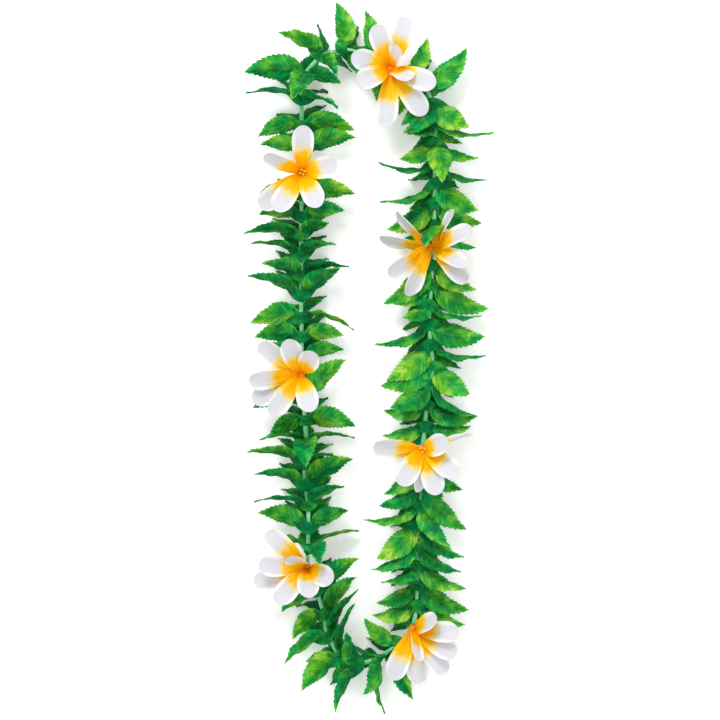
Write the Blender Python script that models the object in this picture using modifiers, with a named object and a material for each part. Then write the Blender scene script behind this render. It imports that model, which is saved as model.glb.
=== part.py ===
"""A lei of fabric leaves and frangipani flowers threaded on a string, laid flat as a closed loop.

X runs across the loop, Y along it and Z up from the surface that it lies on. Lengths are in metres.
"""

import math
import random
from typing import NamedTuple

import bmesh
import bpy
import numpy as np
from mathutils import Vector

MM = 0.001
UP = Vector((0.0, 0.0, 1.0))

# String and spacer tubes
STRAND_HEIGHT = 26.0 * MM
STRING_RADIUS = 0.6 * MM
TUBE_RADIUS = 1.7 * MM
TUBE_END_GAP = 1.15 * MM
TUBE_END_CHAMFER = 0.15 * MM
ROUTE_STEPS = 40
CENTRE = (1.197 * MM, 2.483 * MM)

# Fabric
FABRIC = 0.7 * MM
LYING_HEIGHT = 0.34 * MM
PRESSED_HEIGHT = 0.32 * MM

# Leaf whorls: a ring of fabric with four serrated leaves
HUB_BORE = 1.35 * MM
HUB_RADIUS = 2.7 * MM
WIDEST_HUB_GAP = 100.0
LEAF_ROOT_ANGLE = 17.0
LEAF_LENGTH = 41.0 * MM
LEAF_HALF_WIDTH = 9.4 * MM
LEAF_RECURVE = 15.0
LEAF_FOLD = 16.0
LEAF_MIDRIB = (0.45,)
LEAF_EDGE = ((0.32, 0.98), (0.41, 0.82), (0.62, 0.90), (0.70, 0.60))
LOWER_LEAF_EDGE = ((0.36, 0.84), (0.49, 0.68), (0.65, 0.66))
LYING_LEAF_EDGE = ((0.36, 0.84), (0.68, 0.66))
LYING_LEAF_MIDRIB = (0.42, 0.70)
LYING_AZIMUTHS = 15.0
LONGEST_LEAF = 1.12
LOWEST_SHOWN = 11.0
HIGHEST_SHOWN = 50.0
HIGHEST_BESIDE_FRONT = 26.0
LOWER_LEAF_DROP = 57.0
LOWER_LEAVES_APART = 8.0
DUCKED_SHOWN = -6.0
DEEPEST_SHOWN = -22.0
DUCKED_DROP = 60.0
DUCKED_BREADTH = 0.85
SHORTEST_LEAF = 0.75
FRONT_LEAF_ARCH = 28.0
REACH_OF_FACE = 40.0 * MM
REACH_OF_SIDE = 38.0 * MM
SEED = 27

# Flowers: two layers of petals on a collar
COLLAR_RADIUS = 3.3 * MM
COLLAR_BORE = 1.7 * MM
COLLAR_LENGTH = 5.6 * MM
COLLAR_SIDES = 8
COLLAR_GAP = 0.7 * MM
PETAL_LENGTH = 42.0 * MM
PETAL_HALF_WIDTH = 8.6 * MM
PETAL_ARCH = 20.0
PETAL_CUP = 1.6 * MM
LEAST_RISE = 10.0
BEHIND_RISE = 3.0
PETAL_ROOT = 2.4 * MM
PETAL_SPREAD = 1.8 * MM
PETAL_MIDRIB = (0.5,)
PETAL_EDGE = ((0.40, 0.68), (0.74, 1.0), (0.93, 0.64))
PETAL_ROOT_WIDTH = 0.09
SHORTEST_STANDING = 0.55
SMALLEST_TURNED = 0.88

# The string's route, in millimetres: up the left strand, over the top, down the right and round the foot
ROUTE = (
    (-46.8, -160.3), (-46.0, -140.0), (-46.0, -111.0), (-49.5, -84.0), (-47.5, -58.0), (-49.9, -31.0),
    (-51.5, -9.8), (-51.0, 8.2), (-51.5, 39.4), (-51.5, 78.4), (-51.5, 113.5), (-50.5, 147.8),
    (-50.7, 179.8), (-51.5, 203.0), (-49.5, 222.0), (-40.0, 236.5), (-24.0, 243.5), (-4.0, 241.5),
    (17.9, 229.0), (38.0, 221.0), (49.5, 207.0), (53.0, 181.0), (52.6, 135.3), (52.3, 107.3), (50.4, 89.3),
    (50.7, 62.8), (48.4, 41.7), (48.4, 22.2), (51.5, -1.2), (49.5, -16.8), (46.8, -31.6), (45.2, -48.0),
    (43.2, -68.3), (42.1, -107.3), (39.0, -126.0), (39.0, -166.5), (38.4, -194.0), (34.5, -210.0),
    (22.0, -222.0), (8.0, -231.5), (-6.5, -236.5), (-19.5, -231.0), (-29.0, -218.5), (-33.5, -202.4),
    (-36.0, -185.3), (-42.0, -171.5),
)


class Petal(NamedTuple):
    """How far a petal's tip lies across and up the lei from the collar, in millimetres, and its turn."""

    across: float
    up: float
    turn: float = 0.0
    behind: bool = False


class Tip(NamedTuple):
    """A leaf tip's distance into the loop and forward along the string, in millimetres, and its breadth.

    The breadth is the share of the blade's width that faces the front.
    """

    inward: float
    forward: float
    breadth: float


class Flower(NamedTuple):
    """A flower: where it sits on the route, whether its face is to the front, and the whorls after it.

    A whorl's row gives its outer leaf, its inner leaf and, where it has one, its front leaf.
    """

    name: str
    centre: tuple
    faces_front: bool
    petals: tuple
    whorls: tuple
    pair: int = 0


FLOWERS = (
    Flower("flower_lower_left", (-46.8, -160.3), True, (
        Petal(-32, 28), Petal(-38, 3, 10), Petal(-24, -27), Petal(1, -22, 10), Petal(20, -9),
        Petal(-13, 9, 50), Petal(-38, -11, 0, True)), (
        ((-28, 4, .4), (39, 13, .12), (10, -14, .8)),
        ((-39, 10, .6), (22, 8, 1.)),
        ((-41, 3, .1), (29, 13, .3)),
        ((-38, 11, .35), (38, 15, .8)),
        ((-44, 5, .35), (24, 4, .1)),
        ((-36, 0, .1), (37, 0, .12), (0, -24, .8)),
        ((-26, -14, 1.), (38, -11, 1.)),
        ((-39, -6, .5), (36, 26, .4))), 4),
    Flower("flower_middle_left", (-51.5, -9.8), True, (
        Petal(-33, 24, 20), Petal(-11, 27), Petal(10, 17), Petal(-41, -5, 30), Petal(-24, -31, 20),
        Petal(8, -29), Petal(-34, -19, 0, True)), (
        ((-34, 2, .5), (25, 3, .4)),
        ((-36, -2, 1.), (25, -1, 1.)),
        ((-38, -8, 1.), (42, -12, .1)),
        ((-41, 16, .4), (30, 19, .5)),
        ((-30, 9, .55), (37, 6, .25)),
        ((-39, 9, .1), (27, 8, .2)),
        ((-44, -2, .4), (21, 7, .7)),
        ((-26, -2, .15), (33, 2, 1.)),
        ((-30, 0, .5), (41, 1, .4))), 5),
    Flower("flower_upper_left", (-50.5, 147.8), True, (
        Petal(1, 36), Petal(27, 5), Petal(13, -28), Petal(-21, -31), Petal(-29, 13, 45),
        Petal(-31, -26, 0, True)), (
        ((-27, 2, .15), (41, 9, .12)),
        ((-34, -10, .6), (40, -8, .6)),
        ((-43, 0, .1), (30, -6, .3)),
        ((-45, -22, 1.), (20, 4, .8), (0, -27, .8)),
        ((-30, -22, 1.), (21, 2, .7)),
        ((-36, -9, 1.), (20, 15, .9)),
        ((-30, -18, .3), (34, 24, .8))), 2),
    Flower("flower_top", (17.9, 228.0), True, (
        Petal(-12, 33), Petal(13, 40), Petal(-31, 8), Petal(-27, -13), Petal(-4, -46), Petal(27, -37),
        Petal(35, -14), Petal(14, -10, 45), Petal(6, 15, 40)), (
        ((-26, -2, .9), (24, 5, .6)),
        ((-44, -6, .9), (32, 12, .4)),
        ((-22, 24, 1.), (27, 16, .5)),
        ((-45, 8, .1), (23, 7, .3)),
        ((-32, 9, .5), (27, 11, .9), (-5, 32, .8)),
        ((-40, 10, .2), (44, -2, .15)),
        ((-33, 19, .9), (42, 15, .15)),
        ((-36, 13, 1.), (36, 19, 1.)),
        ((-32, 16, .6), (30, 13, .6), (6, 19, .5))), 6),
    Flower("flower_upper_right", (50.4, 89.3), False, (
        Petal(-27, 29, 70), Petal(-41, 8, 62), Petal(-34, -23, 35), Petal(-19, -40, 45),
        Petal(17, 31, 72), Petal(31, 15, 40), Petal(26, -17, 40), Petal(26, -30, 30)), (
        ((-33, 19, .7), (37, 31, .7)),
        ((-45, 15, .1), (20, 11, .2)),
        ((-41, 5, .1), (19, 9, .7)),
        ((-43, 9, 1.), (42, 10, .35)),
        ((-41, 11, .15), (37, 22, 1.)),
        ((-29, 20, 1.), (40, 16, .9)),
        ((-39, 18, .2), (27, 19, .8)),
        ((-40, 1, .1), (32, 6, .45)),
        ((-35, -7, .4), (18, 5, .8))), 6),
    Flower("flower_middle_right", (43.2, -68.3), False, (
        Petal(-39, 2, 25), Petal(-18, -29, 5), Petal(20, 7, 15), Petal(38, 12, 74), Petal(27, -21, 10),
        Petal(11, -37), Petal(-5, -35, 60)), (
        ((-31, 16, .1), (28, 21, .6)),
        ((-37, 32, .2), (31, 16, .1)),
        ((-26, 26, .35), (42, 16, .25)),
        ((-37, 22, .5), (29, 26, 1.)),
        ((-33, 20, .3), (35, 17, .35)),
        ((-37, 16, .5), (28, 9, .2)),
        ((-40, 17, .6), (30, 13, .9)),
        ((-38, 9, .35), (33, 9, .3))), 4),
    Flower("flower_foot", (35.5, -208.0), True, (
        Petal(-17, -40), Petal(26, -35), Petal(36, -3, 15), Petal(34, -20), Petal(3, -23, 60),
        Petal(18, 8, 40), Petal(4, -38, 0, True)), (
        ((-40, 19, .1), (18, 4, .9)),
        ((-43, 17, .1), (18, 14, .3), (-18, 25, .9)),
        ((-37, 14, .4), (25, 10, .5)),
        ((-39, -2, 1.), (36, 20, .15)),
        ((-37, -13, .7), (34, 24, .2)),
        ((-27, -17, 1.), (30, 21, .4)),
        ((-30, -8, .8), (38, 12, .4))), 0),
)


class Leaf(NamedTuple):
    """A leaf's place round the string, its lean along the string at root and tip, and its twist."""

    azimuth: float
    root_lean: float
    tip_lean: float
    twist: float
    size: float


def closed_curve(points):
    """A smooth closed line through the points, and how far along it each of its points lies."""
    knots = np.array(points, dtype=float) * MM
    before, after, beyond = np.roll(knots, 1, 0), np.roll(knots, -1, 0), np.roll(knots, -2, 0)
    t = np.linspace(0.0, 1.0, ROUTE_STEPS, endpoint=False)[None, :, None]
    leave, arrive = (after - before)[:, None] / 2.0, (beyond - knots)[:, None] / 2.0
    line = ((2 * t**3 - 3 * t**2 + 1) * knots[:, None] + (t**3 - 2 * t**2 + t) * leave
            + (3 * t**2 - 2 * t**3) * after[:, None] + (t**3 - t**2) * arrive).reshape(-1, 2)
    steps = np.linalg.norm(np.roll(line, -1, 0) - line, axis=1)
    return line, np.concatenate(([0.0], np.cumsum(steps)))


def point_at(line, along, distance):
    """The point that lies the given distance along the closed line."""
    loop = np.vstack((line, line[:1]))
    distance = distance % along[-1]
    return Vector((np.interp(distance, along, loop[:, 0]) - CENTRE[0],
                   np.interp(distance, along, loop[:, 1]) - CENTRE[1], STRAND_HEIGHT))


def station_of(line, along, centre):
    """How far along the line the point nearest to a flower's centre lies."""
    offset = np.linalg.norm(line - np.array(centre) * MM, axis=1)
    return along[int(np.argmin(offset))]


def seats():
    """Every place on the string that holds a flower or a whorl, in threading order."""
    line, along = closed_curve(ROUTE)
    stations = [station_of(line, along, flower.centre) for flower in FLOWERS]
    places = []
    for index, flower in enumerate(FLOWERS):
        start = stations[index]
        end = stations[(index + 1) % len(FLOWERS)]
        if end <= start:
            end += along[-1]
        pitch = (end - start) / (len(flower.whorls) + 1)
        places.append((flower, 0, start))
        places += [(flower, step, start + step * pitch) for step in range(1, len(flower.whorls) + 1)]
    hubs = [point_at(line, along, station) for _, _, station in places]
    return places, hubs


def tangent(hubs, index):
    """The string's direction through a hub, halfway between those of the tubes on its two sides."""
    here = hubs[index]
    arriving = (here - hubs[index - 1]).normalized()
    leaving = (hubs[(index + 1) % len(hubs)] - here).normalized()
    return (arriving + leaving).normalized()


def leaf_surface(hub, along, leaf):
    """The leaf's middle surface as a function of the way out to the tip and of the way across."""
    side = along.cross(UP)
    azimuth = math.radians(leaf.azimuth)
    radial = side * math.cos(azimuth) + UP * math.sin(azimuth)
    start, end = math.radians(leaf.root_lean), math.radians(leaf.tip_lean)
    bend = end - start if abs(end - start) > 0.01 else 0.01
    length = LEAF_LENGTH * leaf.size
    fold = math.radians(LEAF_FOLD)

    def point(out, across):
        lean = start + bend * out
        reach = length * (math.sin(lean) - math.sin(start)) / bend
        advance = length * (math.cos(start) - math.cos(lean)) / bend
        middle = hub + radial * (HUB_RADIUS + reach) + along * advance
        heading = radial * math.cos(lean) + along * math.sin(lean)
        face = along * math.cos(lean) - radial * math.sin(lean)
        ease = min(1.0, out / 0.5)
        turn = math.radians(leaf.twist) * ease * ease * (3.0 - 2.0 * ease)
        width = heading.cross(face) * math.cos(turn) + face * math.sin(turn)
        normal = face * math.cos(turn) - heading.cross(face) * math.sin(turn)
        offset = across * LEAF_HALF_WIDTH * leaf.size
        place = middle + width * offset * math.cos(fold) + normal * abs(offset) * math.sin(fold)
        place.z = max(place.z, LYING_HEIGHT)
        return place

    return point


def zip_strip(bm, edge, rib):
    """Fill the strip between a leaf's edge and its midrib, two lists of (way out, vertex) to one tip."""
    i = j = 0
    while i < len(edge) - 1:
        if j < len(rib) - 2 and rib[j + 1][0] < edge[i + 1][0]:
            bm.faces.new((edge[i][1], rib[j + 1][1], rib[j][1]))
            j += 1
        else:
            bm.faces.new((edge[i][1], edge[i + 1][1], rib[j][1]))
            i += 1


def blade(bm, roots, point, outline, midrib):
    """A leaf or petal in triangles, from its two root vertices to its tip."""
    tip = bm.verts.new(point(1.0, 0.0))
    rib = [(out, bm.verts.new(point(out, 0.0))) for out in midrib] + [(1.0, tip)]
    bm.faces.new((roots[0], roots[1], rib[0][1]))
    for hand, root in zip((-1.0, 1.0), roots):
        edge = [(out, bm.verts.new(point(out, hand * width))) for out, width in outline]
        zip_strip(bm, [(0.0, root)] + edge + [(1.0, tip)], rib)


def hub_ring(bm, ring_vertex, leaves, bore_sides):
    """The flat ring of a star. It gives back its bore and each leaf's two root vertices."""
    rim, roots = [], []
    for index, leaf in enumerate(leaves):
        pair = [(leaf.azimuth + turn, ring_vertex(HUB_RADIUS, leaf.azimuth + turn))
                for turn in (-LEAF_ROOT_ANGLE, LEAF_ROOT_ANGLE)]
        following = leaves[(index + 1) % len(leaves)].azimuth
        gap = (following - leaf.azimuth) % 360.0 - 2.0 * LEAF_ROOT_ANGLE
        rim += pair
        roots.append((pair[0][1], pair[1][1]))
        if gap > WIDEST_HUB_GAP:
            middle = leaf.azimuth + LEAF_ROOT_ANGLE + gap / 2.0
            rim.append((middle, ring_vertex(HUB_RADIUS, middle)))
    step = 360.0 / bore_sides
    first = math.ceil((rim[0][0] - step / 2.0) / step)
    turns = [(first + side) * step for side in range(bore_sides)]
    bore = [(turn, ring_vertex(HUB_BORE, turn)) for turn in turns]
    outer = rim + [(rim[0][0] + 360.0, rim[0][1])]
    inner = bore + [(bore[0][0] + 360.0, bore[0][1])]
    i = j = 0
    while i < len(outer) - 1 or j < len(inner) - 1:
        if j == len(inner) - 1 or (i < len(outer) - 1 and outer[i + 1][0] < inner[j + 1][0] + step / 4.0):
            bm.faces.new((outer[i][1], outer[i + 1][1], inner[j][1]))
            i += 1
        else:
            bm.faces.new((outer[i][1], inner[j + 1][1], inner[j][1]))
            j += 1
    turned = -first % bore_sides
    bore = bore[turned:] + bore[:turned]
    return [vertex for _, vertex in bore], roots


def star_surface(bm, hub, along, leaves, bore_sides):
    """One die-cut star: a flat ring round the string, and its leaves. It gives back the ring's bore."""
    side = along.cross(UP)

    def ring_vertex(radius, angle):
        turn = math.radians(angle)
        return bm.verts.new(hub + (side * math.cos(turn) + UP * math.sin(turn)) * radius)

    leaves = sorted(leaves, key=lambda leaf: leaf.azimuth)
    bore, roots = hub_ring(bm, ring_vertex, leaves, bore_sides)
    for leaf, (left, right) in zip(leaves, roots):
        point = leaf_surface(hub, along, leaf)
        if abs(leaf.azimuth - 270.0) < LYING_AZIMUTHS:
            blade(bm, (left, right), point, LYING_LEAF_EDGE, LYING_LEAF_MIDRIB)
        elif math.sin(math.radians(leaf.azimuth)) > -0.4:
            blade(bm, (left, right), point, LEAF_EDGE, LEAF_MIDRIB)
        else:
            blade(bm, (left, right), point, LOWER_LEAF_EDGE, LEAF_MIDRIB)
    return bore


def join_bores(bm, first, second):
    """The wall of the tube that runs from the bore of one star to that of the next."""
    for step in range(len(first)):
        beyond = (step + 1) % len(first)
        bm.faces.new((first[step], first[beyond], second[beyond]))
        bm.faces.new((first[step], second[beyond], second[step]))


def petal_direction(petal):
    """The petal's heading across the lei, its mean rise towards the front and its size."""
    level = Vector((petal.across, petal.up, 0.0)) * MM
    reach = level.length
    whole = PETAL_LENGTH * 0.98 + PETAL_ROOT
    least = SMALLEST_TURNED if petal.turn >= 50.0 else 1.0
    size = max(least, reach / whole / math.cos(math.radians(LEAST_RISE)))
    if petal.behind:
        return level.normalized(), math.radians(BEHIND_RISE), size
    if reach < SHORTEST_STANDING * whole:
        size = reach / whole / SHORTEST_STANDING
    rise = math.acos(min(1.0, reach / (whole * size)))
    return level.normalized(), rise, size


def petal_surface(root, petal):
    """The petal's middle surface as a function of the way out to the tip and of the way across."""
    level, rise_mean, size = petal_direction(petal)
    arch = math.radians(PETAL_ARCH)
    start = rise_mean + arch
    bend = -2.0 * arch
    length = PETAL_LENGTH * size

    def point(out, across):
        rise = start + bend * out
        reach = length * (math.sin(rise) - math.sin(start)) / bend
        climb = length * (math.cos(start) - math.cos(rise)) / bend
        heading = level * math.cos(rise) + UP * math.sin(rise)
        face = UP * math.cos(rise) - level * math.sin(rise)
        turn = math.radians(petal.turn) * min(1.0, out / 0.4)
        width = heading.cross(face) * math.cos(turn) + face * math.sin(turn)
        normal = face * math.cos(turn) - heading.cross(face) * math.sin(turn)
        cup = PETAL_CUP * across * across
        place = root + level * reach + UP * climb + width * across * PETAL_HALF_WIDTH + normal * cup
        place.z = max(place.z, LYING_HEIGHT)
        return place

    return point


def clear_scene():
    """Remove the objects that the scene starts with."""
    for item in list(bpy.context.scene.objects):
        bpy.data.objects.remove(item, do_unlink=True)


def fabric_material(name, colour, roughness):
    """A plain dielectric material."""
    material = bpy.data.materials.new(name)
    material.use_nodes = True
    shader = material.node_tree.nodes["Principled BSDF"]
    shader.inputs["Base Color"].default_value = (*colour, 1.0)
    shader.inputs["Roughness"].default_value = roughness
    shader.inputs["Metallic"].default_value = 0.0
    return material


def mesh_object(name, bm, collection):
    """Put a bmesh into a new object of the collection."""
    bmesh.ops.recalc_face_normals(bm, faces=bm.faces)
    mesh = bpy.data.meshes.new(name)
    bm.to_mesh(mesh)
    bm.free()
    item = bpy.data.objects.new(name, mesh)
    collection.objects.link(item)
    return item


def evaluated_mesh(item):
    """The object's mesh with its modifiers applied."""
    graph = bpy.context.evaluated_depsgraph_get()
    return bpy.data.meshes.new_from_object(item.evaluated_get(graph), depsgraph=graph)


def settle(item):
    """Apply the object's modifiers, and press flat what lies as low as the surface."""
    mesh = evaluated_mesh(item)
    item.modifiers.clear()
    for vertex in mesh.vertices:
        if vertex.co.z < PRESSED_HEIGHT:
            vertex.co.z = 0.0
    item.data = mesh


def thicken(item):
    """Give an open surface the thickness of the fabric."""
    shell = item.modifiers.new("thickness", "SOLIDIFY")
    shell.thickness = FABRIC
    shell.offset = 0.0
    settle(item)


def pipe(name, start, end, outer, bore, sides, collection):
    """A straight round tube with an open bore."""
    axis = (end - start).normalized()
    across = axis.cross(UP)
    bm = bmesh.new()
    rings = []
    for centre, radius in ((start, outer), (end, outer), (end, bore), (start, bore)):
        angles = [math.tau * step / sides for step in range(sides)]
        rings.append([bm.verts.new(centre + (across * math.cos(turn) + UP * math.sin(turn)) * radius)
                      for turn in angles])
    for ring, following in zip(rings, rings[1:] + rings[:1]):
        for step in range(sides):
            beyond = (step + 1) % sides
            bm.faces.new((ring[step], ring[beyond], following[beyond], following[step]))
    return mesh_object(name, bm, collection)


def fuse(name, pieces, collection):
    """Join closed pieces into one body by a union."""
    group = bpy.data.collections.new(name + "_pieces")
    first, rest = pieces[0], pieces[1:]
    for piece in rest:
        group.objects.link(piece)
    union = first.modifiers.new("union", "BOOLEAN")
    union.operation = "UNION"
    union.operand_type = "COLLECTION"
    union.collection = group
    union.solver = "MANIFOLD"
    mesh = evaluated_mesh(first)
    for piece in pieces:
        bpy.data.objects.remove(piece, do_unlink=True)
    bpy.data.collections.remove(group)
    item = bpy.data.objects.new(name, mesh)
    collection.objects.link(item)
    return item


def leaf_to(tip, lowest, highest):
    """The leaf whose tip shows at the given place, at an elevation between the two given ones."""
    inward, forward, breadth = tip
    whole = (LEAF_LENGTH + HUB_RADIUS) * 0.98 / MM
    depth = math.sqrt(max(0.0, whole * whole - inward * inward - forward * forward))
    elevation = max(lowest, min(highest, math.degrees(math.atan2(depth, abs(inward)))))
    outward = abs(inward) / math.cos(math.radians(elevation))
    size = max(SHORTEST_LEAF, min(LONGEST_LEAF, math.hypot(outward, forward) / whole))
    lean = math.degrees(math.atan2(forward, outward))
    twist = math.degrees(math.asin(min(0.94, breadth))) * math.cos(math.radians(elevation))
    if inward > 0.0:
        return Leaf(elevation % 360.0, lean + LEAF_RECURVE, lean - LEAF_RECURVE, twist, size)
    return Leaf(180.0 - elevation, lean + LEAF_RECURVE, lean - LEAF_RECURVE, -twist, size)


def front_leaf_to(tip):
    """A leaf that stands up to the front and arches forward along the string."""
    inward, forward, breadth = tip
    whole = (LEAF_LENGTH + HUB_RADIUS) * 0.98 / MM
    depth = math.sqrt(max(0.0, whole * whole - inward * inward - forward * forward))
    lean = math.degrees(math.asin(forward / whole))
    arch = math.copysign(FRONT_LEAF_ARCH, forward)
    azimuth = math.degrees(math.atan2(depth, inward))
    return Leaf(azimuth, lean - arch, lean + arch, 60.0 * (breadth - 1.0), 1.0)


def whorl_leaves(rng, row, ducked):
    """A whorl's four leaves: those its row places, and the ones underneath that the string hides."""
    if len(row) == 3:
        limits = (DEEPEST_SHOWN, DEEPEST_SHOWN) if ducked else (0.0, HIGHEST_BESIDE_FRONT)
        leaves = [leaf_to(tip, *limits) for tip in row[:2]]
        leaves.append(front_leaf_to(row[2]))
        leaves.append(Leaf(270.0 + rng.uniform(-8.0, 8.0), -10.0, 80.0, 0.0, 1.06))
        return leaves
    if ducked:
        row = [tip[:2] + (max(tip[2], DUCKED_BREADTH),) for tip in row]
        leaves = [leaf_to(tip, DUCKED_SHOWN, DUCKED_SHOWN) for tip in row]
    else:
        leaves = [leaf_to(tip, LOWEST_SHOWN, HIGHEST_SHOWN) for tip in row]
    drop = DUCKED_DROP if ducked else LOWER_LEAF_DROP + rng.uniform(-3.0, 3.0)
    shown = [max(-6.0, (leaf.root_lean + leaf.tip_lean) / 2.0) for leaf in leaves]
    leans = [max(0.6 * lean + 16.0, lean + 8.0) for lean in shown]
    late = int(leans[1] >= leans[0])
    leans[late] = max(leans[late], leans[1 - late] + LOWER_LEAVES_APART)
    for azimuth, lean in zip((180.0 + drop, 360.0 - drop), leans):
        leaves.append(Leaf(azimuth, lean + LEAF_RECURVE, lean - LEAF_RECURVE, 0.0, 0.95))
    return leaves


def below_petals(places, hubs, index):
    """Whether a whorl is near enough to a flower for its leaves to lie under the petals."""
    for (flower, step, _), hub in zip(places, hubs):
        reach = REACH_OF_FACE if flower.faces_front else REACH_OF_SIDE
        if step == 0 and (hub - hubs[index]).length < reach:
            return True
    return False


def make_whorls(places, hubs, collection):
    """Every whorl, with the two whorls of a pair on one length of tube."""
    rng = random.Random(SEED)
    singles = pairs = 0
    material = fabric_material("leaf fabric", (0.02, 0.27, 0.04), 0.6)
    bm = bmesh.new()
    first_bore = None
    for index, (flower, step, _) in enumerate(places):
        if step == 0:
            continue
        leaves = whorl_leaves(rng, flower.whorls[step - 1], below_petals(places, hubs, index))
        paired = flower.pair > 0 and step in (flower.pair, flower.pair + 1)
        bore = star_surface(bm, hubs[index], tangent(hubs, index), leaves, 6 if paired else 4)
        if step == flower.pair:
            first_bore = bore
            continue
        if paired:
            join_bores(bm, first_bore, bore)
            pairs += 1
            name = f"leaf_whorl_pair_{pairs:02d}"
        else:
            singles += 1
            name = f"leaf_whorl_{singles:02d}"
        item = mesh_object(name, bm, collection)
        thicken(item)
        item.data.materials.append(material)
        bm = bmesh.new()
    bm.free()


def make_flower(flower, hub, along, collection, scratch):
    """A flower: its petals sunk into the collar that the string runs through."""
    half = along * COLLAR_LENGTH / 2.0
    pieces = [pipe("collar", hub - half, hub + half, COLLAR_RADIUS, COLLAR_BORE, COLLAR_SIDES, scratch)]
    for petal in flower.petals:
        level, rise, _ = petal_direction(petal)
        if flower.faces_front:
            root = hub + UP * PETAL_ROOT + level * PETAL_SPREAD
        else:
            start = level * math.cos(rise) + UP * math.sin(rise + math.radians(PETAL_ARCH))
            root = hub + (start - along * start.dot(along)).normalized() * PETAL_ROOT
        bm = bmesh.new()
        point = petal_surface(root, petal)
        roots = [bm.verts.new(point(0.0, hand * PETAL_ROOT_WIDTH)) for hand in (-1.0, 1.0)]
        blade(bm, roots, point, PETAL_EDGE, PETAL_MIDRIB)
        piece = mesh_object("petal", bm, scratch)
        thicken(piece)
        pieces.append(piece)
    return fuse(flower.name, pieces, collection)


def make_string(places, hubs, collection):
    """The string and its spacer tubes as one closed run that is thick along each tube."""
    run = []
    for index, (flower, step, _) in enumerate(places):
        here = hubs[index]
        arriving = (here - hubs[index - 1]).normalized()
        leaving = (hubs[(index + 1) % len(hubs)] - here).normalized()
        gap = COLLAR_LENGTH / 2.0 + COLLAR_GAP if step == 0 else TUBE_END_GAP
        inner = gap - TUBE_END_CHAMFER
        paired = flower.pair > 0
        bare_before = paired and step == flower.pair + 1
        bare_after = paired and step == flower.pair
        if not bare_before:
            run += [(here - arriving * gap, TUBE_RADIUS), (here - arriving * inner, STRING_RADIUS)]
        if not bare_after:
            run += [(here + leaving * inner, STRING_RADIUS), (here + leaving * gap, TUBE_RADIUS)]
    curve = bpy.data.curves.new("string_with_tubes", "CURVE")
    curve.dimensions = "3D"
    curve.twist_mode = "Z_UP"
    curve.bevel_depth = TUBE_RADIUS
    curve.bevel_resolution = 1
    spline = curve.splines.new("POLY")
    spline.points.add(len(run) - 1)
    for knot, (place, radius) in zip(spline.points, run):
        knot.co = (*place, 1.0)
        knot.radius = radius / TUBE_RADIUS
    spline.use_cyclic_u = True
    item = bpy.data.objects.new("string_with_tubes", curve)
    collection.objects.link(item)
    curve.materials.append(fabric_material("tube plastic", (0.35, 0.72, 0.45), 0.35))


def main():
    """Build the lei."""
    clear_scene()
    collection = bpy.data.collections.new("lei")
    scratch = bpy.data.collections.new("scratch")
    bpy.context.scene.collection.children.link(collection)
    bpy.context.scene.collection.children.link(scratch)
    places, hubs = seats()
    make_string(places, hubs, collection)
    petal_fabric = fabric_material("petal fabric", (0.85, 0.83, 0.86), 0.6)
    for index, (flower, step, _) in enumerate(places):
        if step == 0:
            item = make_flower(flower, hubs[index], tangent(hubs, index), collection, scratch)
            item.data.materials.append(petal_fabric)
    make_whorls(places, hubs, collection)


main()
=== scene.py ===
"""A lei of polyester leaves and frangipani flowers on a string with plastic spacer tubes, laid flat.

X runs across the loop, Y along it and Z up from the surface that it lies on. Lengths are in metres, except
where a name or a table says millimetres.
"""

import logging
import math
import random
from dataclasses import dataclass, field
from enum import Enum
from functools import partial
from typing import Callable, NamedTuple

import bpy
import numpy as np
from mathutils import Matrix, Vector

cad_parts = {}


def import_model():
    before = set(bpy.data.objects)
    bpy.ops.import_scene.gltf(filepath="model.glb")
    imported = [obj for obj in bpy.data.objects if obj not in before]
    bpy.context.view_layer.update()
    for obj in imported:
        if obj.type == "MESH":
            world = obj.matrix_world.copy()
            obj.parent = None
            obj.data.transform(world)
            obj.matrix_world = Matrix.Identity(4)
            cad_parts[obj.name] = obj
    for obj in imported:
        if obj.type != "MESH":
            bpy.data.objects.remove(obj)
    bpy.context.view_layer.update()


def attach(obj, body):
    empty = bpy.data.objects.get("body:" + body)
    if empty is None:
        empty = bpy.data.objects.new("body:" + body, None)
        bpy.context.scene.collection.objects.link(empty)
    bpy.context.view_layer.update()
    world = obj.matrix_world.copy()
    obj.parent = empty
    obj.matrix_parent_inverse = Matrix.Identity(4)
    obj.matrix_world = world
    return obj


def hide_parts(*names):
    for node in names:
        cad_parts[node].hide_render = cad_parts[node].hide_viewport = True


LOG = logging.getLogger("lei")
MM = 0.001
UP = np.array((0.0, 0.0, 1.0))
SEED = 27

# The cut edge of a leaf, as shares of its length. The veins in the cloth's colour run to the same teeth.
TEETH = 10
TEETH_START = 0.11
TEETH_SPAN = 0.82

Socket = bpy.types.NodeSocket
AddNode = Callable[..., bpy.types.Node]
RANGE = ("From Min", "From Max", "To Min", "To Max")
SMOOTH = {"interpolation_type": "SMOOTHSTEP"}


def linear(colour: str) -> tuple[float, float, float, float]:
    """Turn an sRGB colour into the linear values that a shader takes.

    Args:
        colour: Six hex digits, such as "2f9e30".

    Returns:
        Red, green, blue and an alpha of one.
    """
    levels = [int(colour[start:start + 2], 16) / 255.0 for start in (0, 2, 4)]
    turned = [level / 12.92 if level <= 0.04045 else ((level + 0.055) / 1.055) ** 2.4 for level in levels]
    return (*turned, 1.0)


def per_metre(size_mm: float) -> float:
    """Give the texture scale that makes a pattern's grain a number of millimetres wide."""
    return 1.0 / (size_mm * MM)


def bands_per_metre(width_mm: float) -> float:
    """Give the wave texture's scale for bands a number of millimetres wide: it turns by 20 at scale one."""
    return per_metre(width_mm) / 20.0 * math.tau


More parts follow.
